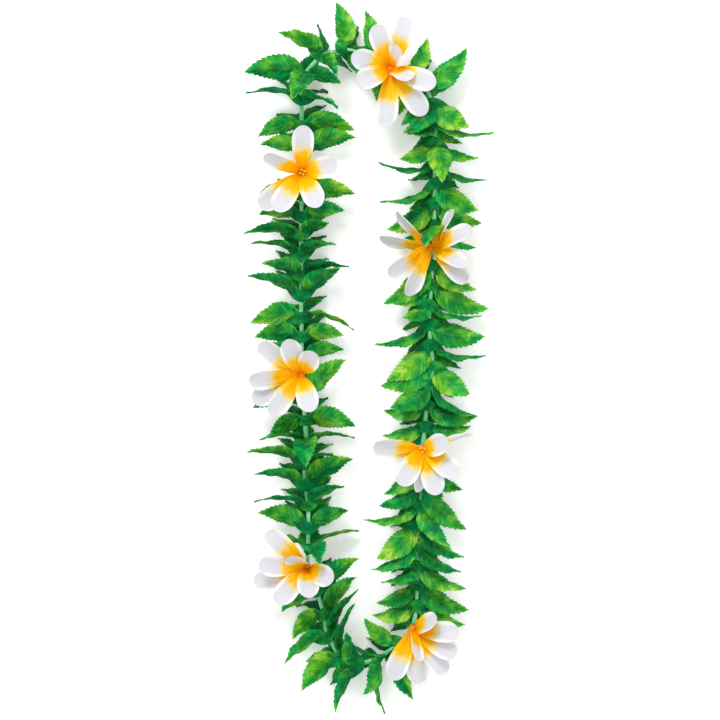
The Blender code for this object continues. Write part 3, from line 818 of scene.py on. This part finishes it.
@dataclass(frozen=True)
class LeafWhorls:
    """Four-leaved stars of cloth, one at each whorl's seat.

    Angles are in degrees. Sizes, breadths and tones without a unit are shares.
    """

    length: float = 41.0 * MM
    half_width: float = 10.2 * MM
    hub_radius: float = 2.7 * MM
    bore: float = 1.75 * MM
    cloth: float = 0.3 * MM
    ring_overlap: float = 1.12
    ring_sides: int = 24
    # How a leaf stands, from the place of its tip.
    reach: float = 0.98
    sizes: tuple[float, float] = (0.75, 1.12)
    recurve: float = 15.0
    front_arch: float = 28.0
    shown_elevations: tuple[float, float] = (11.0, 50.0)
    elevations_beside_front: tuple[float, float] = (0.0, 26.0)
    ducked_elevation: float = -6.0
    deepest_elevation: float = -22.0
    ducked_breadth: float = 0.85
    lower_drop: float = 57.0
    ducked_drop: float = 60.0
    lower_apart: float = 8.0
    lower_size: float = 0.95
    rear_leans: tuple[float, float] = (-10.0, 80.0)
    rear_size: float = 1.06
    # Its cut: the breadth at the foot, and scale, rise and fall of the outline.
    foot: float = 0.3
    outline: tuple[float, float, float] = (2.96, 0.6, 1.05)
    lower_breadth: float = 0.87
    tooth_depth: float = 1.25 * MM
    tooth_hook: float = 0.012
    tooth_rows: tuple[float, ...] = (0.0, 0.4, 0.75, 0.97)
    tooth_ridges: tuple[float, ...] = (0.0, 0.25, 1.0, 0.45)
    # Its relief.
    fold: float = 16.0
    keel: float = 0.8 * MM
    vein_slope: float = 0.8
    pleat_height: float = 0.42 * MM
    rib_height: float = 0.5 * MM
    rib_width: float = 0.75 * MM
    curl: float = 2.2 * MM
    wave_height: float = 0.55 * MM
    crease_height: float = 0.3 * MM
    # How light it is painted: painted light on leaves that turn their breadth or stand to the front, and on
    # the right strand, as if it lay more in the light; painted shade on hidden leaves and on one half of a
    # folded leaf; lighter towards the tip, with a random spread.
    edge_on_tone: float = 0.04
    breadth_painted_light: float = 0.28
    front_painted_light: float = 0.22
    hidden_painted_shade: float = 0.1
    left_painted_light: float = 0.01
    right_painted_light: float = 0.07
    tone_spread: float = 0.13
    half_painted_shade: float = 0.13
    tip_tone: float = 0.16
    # The uncut middle of the star.
    saddle_row: int = 7
    saddle_rows: int = 17
    saddle_back: float = 7.0 * MM
    saddle_front: float = 1.4 * MM
    saddle_height: float = 2.75 * MM
    saddle_wave: float = 0.5 * MM
    saddle_crease: float = 0.42 * MM

    def depth_of(self, tip: Tip) -> tuple[float, float]:
        """Find how far a leaf reaches, and how far its tip is out of the lei's plane.

        Args:
            tip: The tip's place and breadth, from a whorl's row.

        Returns:
            Both lengths in millimetres.
        """
        whole = (self.length + self.hub_radius) * self.reach / MM
        return whole, math.sqrt(max(0.0, whole * whole - tip[0] * tip[0] - tip[1] * tip[1]))

    def leaf_to(self, tip: Tip, lowest: float, highest: float) -> Leaf:
        """Find the leaf whose tip shows at a place.

        Args:
            tip: The tip's place and breadth, from a whorl's row.
            lowest: The least elevation.
            highest: The greatest elevation.

        Returns:
            The leaf.
        """
        inward, forward, breadth = tip
        whole, depth = self.depth_of(tip)
        elevation = max(lowest, min(highest, math.degrees(math.atan2(depth, abs(inward)))))
        outward = abs(inward) / math.cos(math.radians(elevation))
        size = max(self.sizes[0], min(self.sizes[1], math.hypot(outward, forward) / whole))
        lean = math.degrees(math.atan2(forward, outward))
        twist = math.degrees(math.asin(min(0.94, breadth))) * math.cos(math.radians(elevation))
        azimuth, twist = (elevation % 360.0, twist) if inward > 0.0 else (180.0 - elevation, -twist)
        # Painted light: the more breadth a leaf turns to the front, the lighter its tone.
        return Leaf(azimuth, lean + self.recurve, lean - self.recurve, twist, size,
                    self.edge_on_tone + self.breadth_painted_light * breadth)

    def front_leaf_to(self, tip: Tip) -> Leaf:
        """Find a leaf that stands up to the front and arches along the string.

        Args:
            tip: The tip's place and breadth, from a whorl's row.

        Returns:
            The leaf.
        """
        inward, forward, breadth = tip
        whole, depth = self.depth_of(tip)
        lean = math.degrees(math.asin(forward / whole))
        arch = math.copysign(self.front_arch, forward)
        azimuth = math.degrees(math.atan2(depth, inward))
        # Painted light: a leaf that stands to the front gets a light tone.
        return Leaf(azimuth, lean - arch, lean + arch, 60.0 * (breadth - 1.0), 1.0, self.front_painted_light)

    def leaves(self, seat: Seat, rng: random.Random) -> list[Leaf]:
        """Lay out a whorl's leaves: those its row places, and those that the string hides.

        Args:
            seat: The whorl's seat.
            rng: The source of small differences.

        Returns:
            Four leaves.
        """
        row, under = seat.plan.whorls[seat.step - 1], seat.under_petals
        if len(row) == 3:
            limits = (self.deepest_elevation,) * 2 if under else self.elevations_beside_front
            leaves = [self.leaf_to(tip, *limits) for tip in row[:2]]
            leaves.append(self.front_leaf_to(row[2]))
            azimuth = 270.0 + rng.uniform(-8.0, 8.0)
            # Painted shade: the rear leaf, which the string hides, gets a dark tone.
            return leaves + [Leaf(azimuth, *self.rear_leans, 0.0, self.rear_size, self.hidden_painted_shade)]
        if under:
            leaves = [self.leaf_to((*tip[:2], max(tip[2], self.ducked_breadth)), self.ducked_elevation,
                                   self.ducked_elevation) for tip in row]
        else:
            leaves = [self.leaf_to(tip, *self.shown_elevations) for tip in row]
        drop = self.ducked_drop if under else self.lower_drop + rng.uniform(-3.0, 3.0)
        shown = [max(-6.0, (leaf.root_lean + leaf.tip_lean) / 2.0) for leaf in leaves]
        leans = [max(0.6 * lean + 2.0 * self.lower_apart, lean + self.lower_apart) for lean in shown]
        late = int(leans[1] >= leans[0])
        leans[late] = max(leans[late], leans[1 - late] + self.lower_apart)
        # Painted shade: the lower leaves, which the string hides, get a dark tone.
        return leaves + [Leaf(azimuth, lean + self.recurve, lean - self.recurve, 0.0, self.lower_size,
                              self.hidden_painted_shade) for azimuth, lean in zip((180.0 + drop, 360.0 - drop), leans)]

    def cut(self) -> tuple[np.ndarray, np.ndarray, np.ndarray]:
        """Set out the rows and columns of a leaf's grid, and how far through a tooth each row is.

        Returns:
            The rows' places at the edge, the columns' places across, and each row's share of its tooth.
        """
        foot, tip, toothless = (0.0, 0.035, 0.075), (0.935, 0.955, 0.98, 1.0), 0.55
        teeth = [TEETH_START + (tooth + share) * (TEETH_SPAN / TEETH) for tooth in range(TEETH)
                 for share in self.tooth_rows]
        through = [toothless] * len(foot) + list(self.tooth_rows) * TEETH + [toothless] * len(tip)
        half = np.array((0.0, 0.09, 0.22, 0.42, 0.63, 0.82, 0.94, 1.0))
        return np.array([*foot, *teeth, *tip]), np.concatenate((-half[:0:-1], half)), np.array(through)

    def surface(self, seat: Seat, leaf: Leaf, out: np.ndarray, side: np.ndarray,
                proud: np.ndarray) -> np.ndarray:
        """Bend a leaf's cloth into place.

        Args:
            seat: The whorl's seat.
            leaf: The leaf.
            out: Each point's share of the way out to the tip.
            side: Its distance from the midrib.
            proud: How far it stands out of the cloth.

        Returns:
            The points' places.
        """
        azimuth, fold = math.radians(leaf.azimuth), math.radians(self.fold)
        radial = np.cross(seat.along, UP) * math.cos(azimuth) + UP * math.sin(azimuth)
        start, end = math.radians(leaf.root_lean), math.radians(leaf.tip_lean)
        turn = math.radians(leaf.twist) * (0.75 + 0.25 * ease(0.0, 0.3, out))
        middle, width, normal = bent(seat.hub + radial * self.hub_radius, radial, seat.along, start,
                                     end - start, self.length * leaf.size, out, turn)
        lift = (np.sqrt(side * side + self.keel * self.keel) - self.keel) * math.sin(fold)
        return middle + width * (side * math.cos(fold))[..., None] + normal * (lift - proud)[..., None]

    def add_leaf(self, skin: Skin, seat: Seat, leaf: Leaf, rng: random.Random) -> np.ndarray:
        """Add one leaf with its teeth, veins and creases.

        Args:
            skin: The whorl's skin.
            seat: The whorl's seat.
            leaf: The leaf.
            rng: The source of small differences.

        Returns:
            A row of points across the leaf's foot.
        """
        edge, columns, through = self.cut()
        t, s = np.meshgrid(edge, columns, indexing="ij")
        tooth = np.repeat(through[:, None], len(columns), axis=1)
        near_edge, before_tip = np.abs(s), 1.0 - ease(0.9, 1.0, t)
        outer = near_edge ** 5
        breadth = self.lower_breadth if math.sin(math.radians(leaf.azimuth)) < -0.4 else 1.0
        scale, rise, fall = self.outline
        blade = np.maximum(self.foot * (1.0 - t), scale * t ** rise * (1.0 - t) ** fall) * breadth
        bite = (tooth - 0.6) * self.tooth_depth * ease(0.08, 0.2, t) * before_tip * outer
        side = (near_edge * blade * self.half_width + bite) * leaf.size * np.sign(s)
        slope = self.vein_slope * t * (1.0 - t)
        out = t - slope * (1.0 - near_edge) + self.tooth_hook * (tooth - 0.5) * outer * before_tip

        ridge = np.interp(through, self.tooth_rows, self.tooth_ridges)[:, None]
        ribs = np.exp(-(side / self.rib_width) ** 2) * self.rib_height * (1.0 - 0.7 * t)
        veins = (ridge * self.pleat_height * ease(0.0, 0.3, near_edge)
                 * (1.0 - 0.6 * ease(0.8, 1.0, near_edge)) * ease(0.03, 0.2, t) * (1.0 - 0.6 * t))
        first, second, third = (rng.uniform(0.0, math.tau) for _ in range(3))
        curl = rng.uniform(-self.curl, self.curl) * t * t
        waves = np.sin(t * 13.0 + first + np.sign(s) * second) * s * s * ease(0.05, 0.3, t)
        creases = np.sin(17.0 * t + 4.0 * s + third) + np.sin(27.0 * t - 6.0 * s + first)
        proud = (ribs + veins + self.wave_height * waves + curl
                 + self.crease_height * creases * ease(0.05, 0.2, t))
        middle = self.surface(seat, leaf, out, side, proud)

        # Painted light: the right strand is painted lighter than the left, as if it lay more in the light.
        tone = leaf.tone + (self.right_painted_light if seat.hub[0] > 0.0 else self.left_painted_light)
        tone += rng.uniform(-self.tone_spread, self.tone_spread)
        # Painted shade: one half of the folded leaf is painted darker than the other.
        painted_halves = self.half_painted_shade * math.sin(third) * np.tanh(4.0 * s) * ease(0.05, 0.25, t)
        tones = tone + (painted_halves + self.tip_tone * (t - 0.5))
        skin.add_blade(middle, np.stack((t, s), axis=-1), tones, self.cloth)
        return middle[self.saddle_row].copy()

    def add_saddle(self, skin: Skin, seat: Seat, rows: list[np.ndarray], rng: random.Random) -> None:
        """Add the uncut middle of a star, which joins the side leaves in front of the tube.

        Args:
            skin: The whorl's skin.
            seat: The whorl's seat.
            rows: A row of points across the foot of each side leaf, from its back edge to its front one.
            rng: The source of small differences.
        """
        back, front = self.saddle_back * rng.uniform(0.85, 1.15), self.saddle_front * rng.uniform(0.5, 1.5)
        across = np.linspace(-1.0, 1.0, len(rows[0]))
        forward = (front - back) / 2.0 + (front + back) / 2.0 * across
        height = self.saddle_height + self.saddle_wave * np.sin(3.0 * across + rng.uniform(0.0, math.tau))
        middle = seat.hub + seat.along * forward[:, None] + UP * height[:, None]
        control = 2.0 * middle - (rows[0] + rows[1]) / 2.0
        over = np.linspace(0.0, 1.0, self.saddle_rows)[:, None]
        u = over[..., None]
        sheet = (1.0 - u) ** 2 * rows[0] + 2.0 * u * (1.0 - u) * control + u ** 2 * rows[1]
        crease = self.saddle_crease * np.sin(11.0 * over + 3.0 * across + rng.uniform(0.0, math.tau))
        sheet = sheet + UP * (crease * np.sin(math.pi * over))[..., None]
        # Off the leaf's midrib and between its teeth, so that the saddle shows plain cloth.
        flat = np.stack(np.broadcast_arrays(0.03 + 0.16 * np.abs(2.0 * over - 1.0),
                                            0.12 + 0.5 * np.abs(across)), axis=-1)
        # Painted shade: the saddle's tone is low, so it is painted darker and cooler than most leaves.
        skin.add_blade(sheet, flat, rng.uniform(-0.08, 0.1), self.cloth)

    def add_star(self, skin: Skin, seat: Seat, shape: random.Random, look: random.Random) -> None:
        """Add a whorl's ring and leaves.

        Args:
            skin: The piece that it is part of.
            seat: The whorl's seat.
            shape: The source of the differences that place the leaves.
            look: The source of those that only show.
        """
        half = seat.along * self.cloth / 2.0
        skin.add_turned(seat.hub - half, seat.hub + half,
                        [(0.0, self.bore), (0.0, self.hub_radius * self.ring_overlap)], self.ring_sides,
                        Finish.MAIN, 0.2)
        feet = [self.add_leaf(skin, seat, leaf, look) for leaf in self.leaves(seat, shape)][:2]
        rows = [foot if (foot[-1] - foot[0]) @ seat.along > 0.0 else foot[::-1] for foot in feet]
        self.add_saddle(skin, seat, rows, look)

    def mesh(self, seats: list[Seat], tubes: SpacerTubes, materials: list[bpy.types.Material]) -> None:
        """Build every whorl, with the two whorls of a pair on one length of tube.

        Args:
            seats: The seats in threading order.
            tubes: The maker of the tubes.
            materials: The leaf cloth and the tube's plastic.
        """
        shape, look = random.Random(SEED), random.Random(SEED + 1)
        singles = pairs = 0
        skin = Skin()
        for seat, following in zip(seats, seats[1:] + seats[:1]):
            if seat.step == 0:
                continue
            self.add_star(skin, seat, shape, look)
            if seat.opens_pair:
                gap = seat.leaving * tubes.pair_gap
                tubes.add_tube(skin, seat.hub + gap, following.hub - gap, Finish.SECOND)
                continue
            if seat.closes_pair:
                pairs += 1
                skin.piece(f"leaf_stars_on_tube_{pairs:02d}", [f"leaf_whorl_pair_{pairs:02d}"],
                           materials)
            else:
                singles += 1
                skin.piece(f"leaf_star_{singles:02d}", [f"leaf_whorl_{singles:02d}"],
                           materials[:1])
            skin = Skin()


@dataclass(frozen=True)
class Frangipani:
    """Petals of cloth, pressed and airbrushed, on a plastic collar that the string runs through.

    Angles are in degrees.
    """

    length: float = 42.0 * MM
    half_width: float = 8.6 * MM
    cloth: float = 0.32 * MM
    reach: float = 0.98
    broadest: float = 0.74
    root_width: float = 0.09
    body_rows: int = 21
    cap_rows: int = 12
    columns: int = 19
    # How a petal stands.
    arch: float = 20.0
    least_rise: float = 10.0
    behind_rise: float = 3.0
    turned: float = 50.0
    smallest_turned: float = 0.88
    shortest_standing: float = 0.55
    root: float = 2.4 * MM
    spread: float = 1.8 * MM
    # Its relief and the airbrush's unevenness.
    cup: float = 1.6 * MM
    rim_height: float = 0.4 * MM
    wave_height: float = 0.5 * MM
    flute_height: float = 0.3 * MM
    tone_spread: float = 0.03
    # The collar and the nubs in the throat.
    collar_radius: float = 3.3 * MM
    collar_bore: float = 1.7 * MM
    collar_length: float = 5.6 * MM
    collar_edge: float = 0.35 * MM
    collar_sides: int = 28
    nub_radius: float = 1.15 * MM
    nub_ring: float = 1.9 * MM
    nub_height: float = 5.0 * MM
    nub_sides: int = 12

    def direction(self, petal: Petal) -> tuple[np.ndarray, float, float]:
        """Find how a petal stands.

        Args:
            petal: The petal.

        Returns:
            Its heading across the lei, its mean rise towards the front and its size.
        """
        level = np.array((petal.across, petal.up, 0.0)) * MM
        reach = float(np.linalg.norm(level))
        whole = self.length * self.reach + self.root
        least = self.smallest_turned if petal.turn >= self.turned else 1.0
        size = max(least, reach / whole / math.cos(math.radians(self.least_rise)))
        if petal.behind:
            return level / reach, math.radians(self.behind_rise), size
        if reach < self.shortest_standing * whole:
            size = reach / whole / self.shortest_standing
        return level / reach, math.acos(min(1.0, reach / (whole * size))), size

    def add_petal(self, skin: Skin, seat: Seat, petal: Petal, rng: random.Random) -> None:
        """Add one petal with its cupped, rimmed and waved blade.

        Args:
            skin: The flower's skin.
            seat: The flower's seat.
            petal: The petal.
            rng: The source of small differences.
        """
        level, mean, size = self.direction(petal)
        arch = math.radians(self.arch)
        if seat.plan.faces_front:
            root = seat.hub + UP * self.root + level * self.spread
        else:
            start = level * math.cos(mean) + UP * math.sin(mean + arch)
            root = seat.hub + unit(start - seat.along * float(start @ seat.along)) * self.root

        body = np.linspace(0.0, self.broadest, self.body_rows)
        cap = np.radians(np.linspace(0.0, 89.0, self.cap_rows))[1:]
        rows = np.concatenate((body, self.broadest + (1.0 - self.broadest) * np.sin(cap)))
        widening = np.sin(math.pi / 2.0 * body / self.broadest) ** 0.8
        widths = np.concatenate((self.root_width + (1.0 - self.root_width) * widening, np.cos(cap)))
        columns = np.sin(np.linspace(-math.pi / 2.0, math.pi / 2.0, self.columns))
        out, s = np.meshgrid(rows, columns, indexing="ij")
        w = np.repeat(widths[:, None], len(columns), axis=1)
        s_flat = np.where(out > self.broadest, w * s, s)
        round_end = np.clip((out - self.broadest) / (1.0 - self.broadest), 0.0, 1.0)

        rim = ease(0.86, 0.97, np.sqrt(round_end ** 2 + s_flat ** 2)) * ease(0.3, 0.6, out)
        first, second = rng.uniform(0.0, math.tau), rng.uniform(0.0, math.tau)
        wave = np.sin(out * 8.0 + first + 2.0 * np.sign(s)) * s * s * ease(0.2, 0.6, out)
        flute = np.sin(s * 7.0 + second + 3.0 * out) * ease(0.08, 0.25, out) * (1.0 - ease(0.45, 0.9, out))
        proud = (self.cup * (w * s) ** 2 + self.rim_height * rim + self.wave_height * wave * w
                 + self.flute_height * flute)
        turn = math.radians(petal.turn) * np.minimum(1.0, out / 0.4)
        middle, width, normal = bent(root, level, UP, mean + arch, -2.0 * arch, self.length * size, out, turn)
        place = middle + width * (s * w * self.half_width)[..., None] + normal * proud[..., None]
        skin.add_blade(place, np.stack((out, s_flat), axis=-1),
                       rng.uniform(-self.tone_spread, self.tone_spread), self.cloth)

    def add_nub(self, skin: Skin, centre: np.ndarray) -> None:
        """Add one small yellow nub in the throat.

        Args:
            skin: The flower's skin.
            centre: Its middle.
        """
        radius, stretch, closed = self.nub_radius, 1.3, 1e-6
        profile = [(radius * (1.0 - math.cos(turn)) * stretch + closed, radius * math.sin(turn) + closed)
                   for turn in np.linspace(0.0, math.pi, 9)]
        # A hair out of plumb, because a turned body's axis can't point straight up.
        plumb = np.array((1e-5, 1e-5, 0.0))
        skin.add_turned(centre - UP * radius, centre + UP * radius * 2.0 + plumb, profile, self.nub_sides,
                        Finish.THIRD, mirrored=False)

    def mesh(self, seat: Seat, rng: random.Random, materials: list[bpy.types.Material]) -> None:
        """Build one flower.

        Args:
            seat: The flower's seat.
            rng: The source of small differences.
            materials: The petal cloth, the collar's plastic and the nubs' plastic.
        """
        skin = Skin()
        half, edge = seat.along * self.collar_length / 2.0, self.collar_edge
        skin.add_turned(seat.hub - half, seat.hub + half, [
            (0.0, self.collar_bore), (0.0, self.collar_radius - edge), (edge, self.collar_radius)],
            self.collar_sides, Finish.SECOND)
        for petal in seat.plan.petals:
            self.add_petal(skin, seat, petal, rng)
        for nub in range(seat.plan.nubs):
            angle = math.tau * nub / seat.plan.nubs + 0.4
            aside = np.array((math.cos(angle), math.sin(angle), 0.0)) * self.nub_ring
            self.add_nub(skin, seat.hub + aside + UP * self.nub_height)
        name = seat.plan.name
        skin.piece(name.replace("flower", "frangipani"), [name], materials)


@dataclass(frozen=True)
class Studio:
    """The pale floor, the soft lights and the camera straight above."""

    view_width: float = 0.5616
    view_centre: tuple[float, float] = (-0.0068, -0.0010)
    strand_height: float = 0.026
    lens: float = 300.0
    sensor: float = 36.0
    far_end: float = 20.0
    floor_half: float = 4.0
    floor_glow: float = 0.2

    def floor(self) -> None:
        """Lay the floor, which glows a little so that it stays white beside the soft shadows."""
        mesh = bpy.data.meshes.new("floor")
        corners = [(x * self.floor_half, y * self.floor_half, 0.0)
                   for x, y in ((-1.0, -1.0), (1.0, -1.0), (1.0, 1.0), (-1.0, 1.0))]
        mesh.from_pydata(corners, [], [(0, 1, 2, 3)])
        material, _, shader = new_material("matt_paper")
        set_node(shader, {"Base Color": linear("fafafa"), "Emission Color": linear("ffffff"),
                          "Emission Strength": self.floor_glow, "Roughness": 0.95}, {})
        mesh.materials.append(material)
        floor = bpy.data.objects.new("floor", mesh)
        bpy.context.scene.collection.objects.link(floor)

    def light(self, name: str, place: tuple[float, float, float], size: float, power: float) -> None:
        """Hang one soft light that faces the lei.

        Args:
            name: Its name.
            place: Where it hangs.
            size: Its width.
            power: Its power in watts.
        """
        lamp = bpy.data.lights.new(name, "AREA")
        lamp.size, lamp.energy = size, power
        item = bpy.data.objects.new(name, lamp)
        item.location = place
        item.rotation_euler = (-Vector(place)).to_track_quat("-Z", "Y").to_euler()
        item.visible_camera = False
        bpy.context.scene.collection.objects.link(item)

    def camera(self) -> None:
        """Set the camera straight above."""
        lens = bpy.data.cameras.new("camera")
        lens.lens, lens.sensor_width = self.lens, self.sensor
        lens.clip_end = self.far_end
        item = bpy.data.objects.new("camera", lens)
        item.location = (*self.view_centre, self.strand_height + self.view_width * self.lens / self.sensor)
        bpy.context.scene.collection.objects.link(item)
        bpy.context.scene.camera = item

    def build(self) -> None:
        """Set up the whole studio."""
        scene = bpy.context.scene
        scene.world = scene.world or bpy.data.worlds.new("studio")
        scene.world.use_nodes = True
        background = scene.world.node_tree.nodes["Background"]
        background.inputs["Color"].default_value = linear("ffffff")
        background.inputs["Strength"].default_value = 1.0
        scene.view_settings.view_transform = "Standard"
        self.floor()
        self.light("key", (-0.6, 1.6, 2.2), 0.8, 38.0)
        self.light("fill", (1.4, -0.9, 2.0), 1.6, 6.0)
        self.camera()


def main() -> None:
    """Build the lei, dress it and light it."""
    logging.basicConfig(level=logging.INFO, format="%(message)s")
    seats = Route().seats()
    leaf_cloth, petal_cloth = LeafPolyester().material(), PetalPolyester().material()
    tube = TintedPolyethylene("tube_polyethylene", "56b676", "8ed09e").material()
    collar = TintedPolyethylene("collar_polyethylene", "ce7800", "f0a004", roughness=0.5,
                                milky=0.0).material()
    nub = TintedPolyethylene("nub_polyethylene", "e8c21a", "f3dc4a", milky=0.3).material()
    tubes = SpacerTubes()
    tubes.mesh(seats, [tube, TwistedNylon().material()])
    LeafWhorls().mesh(seats, tubes, [leaf_cloth, tube])
    rng = random.Random(SEED + 2)
    for seat in seats:
        if seat.step == 0:
            Frangipani().mesh(seat, rng, [petal_cloth, collar, nub])
    Studio().build()


if __name__ == "__main__":
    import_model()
    main()
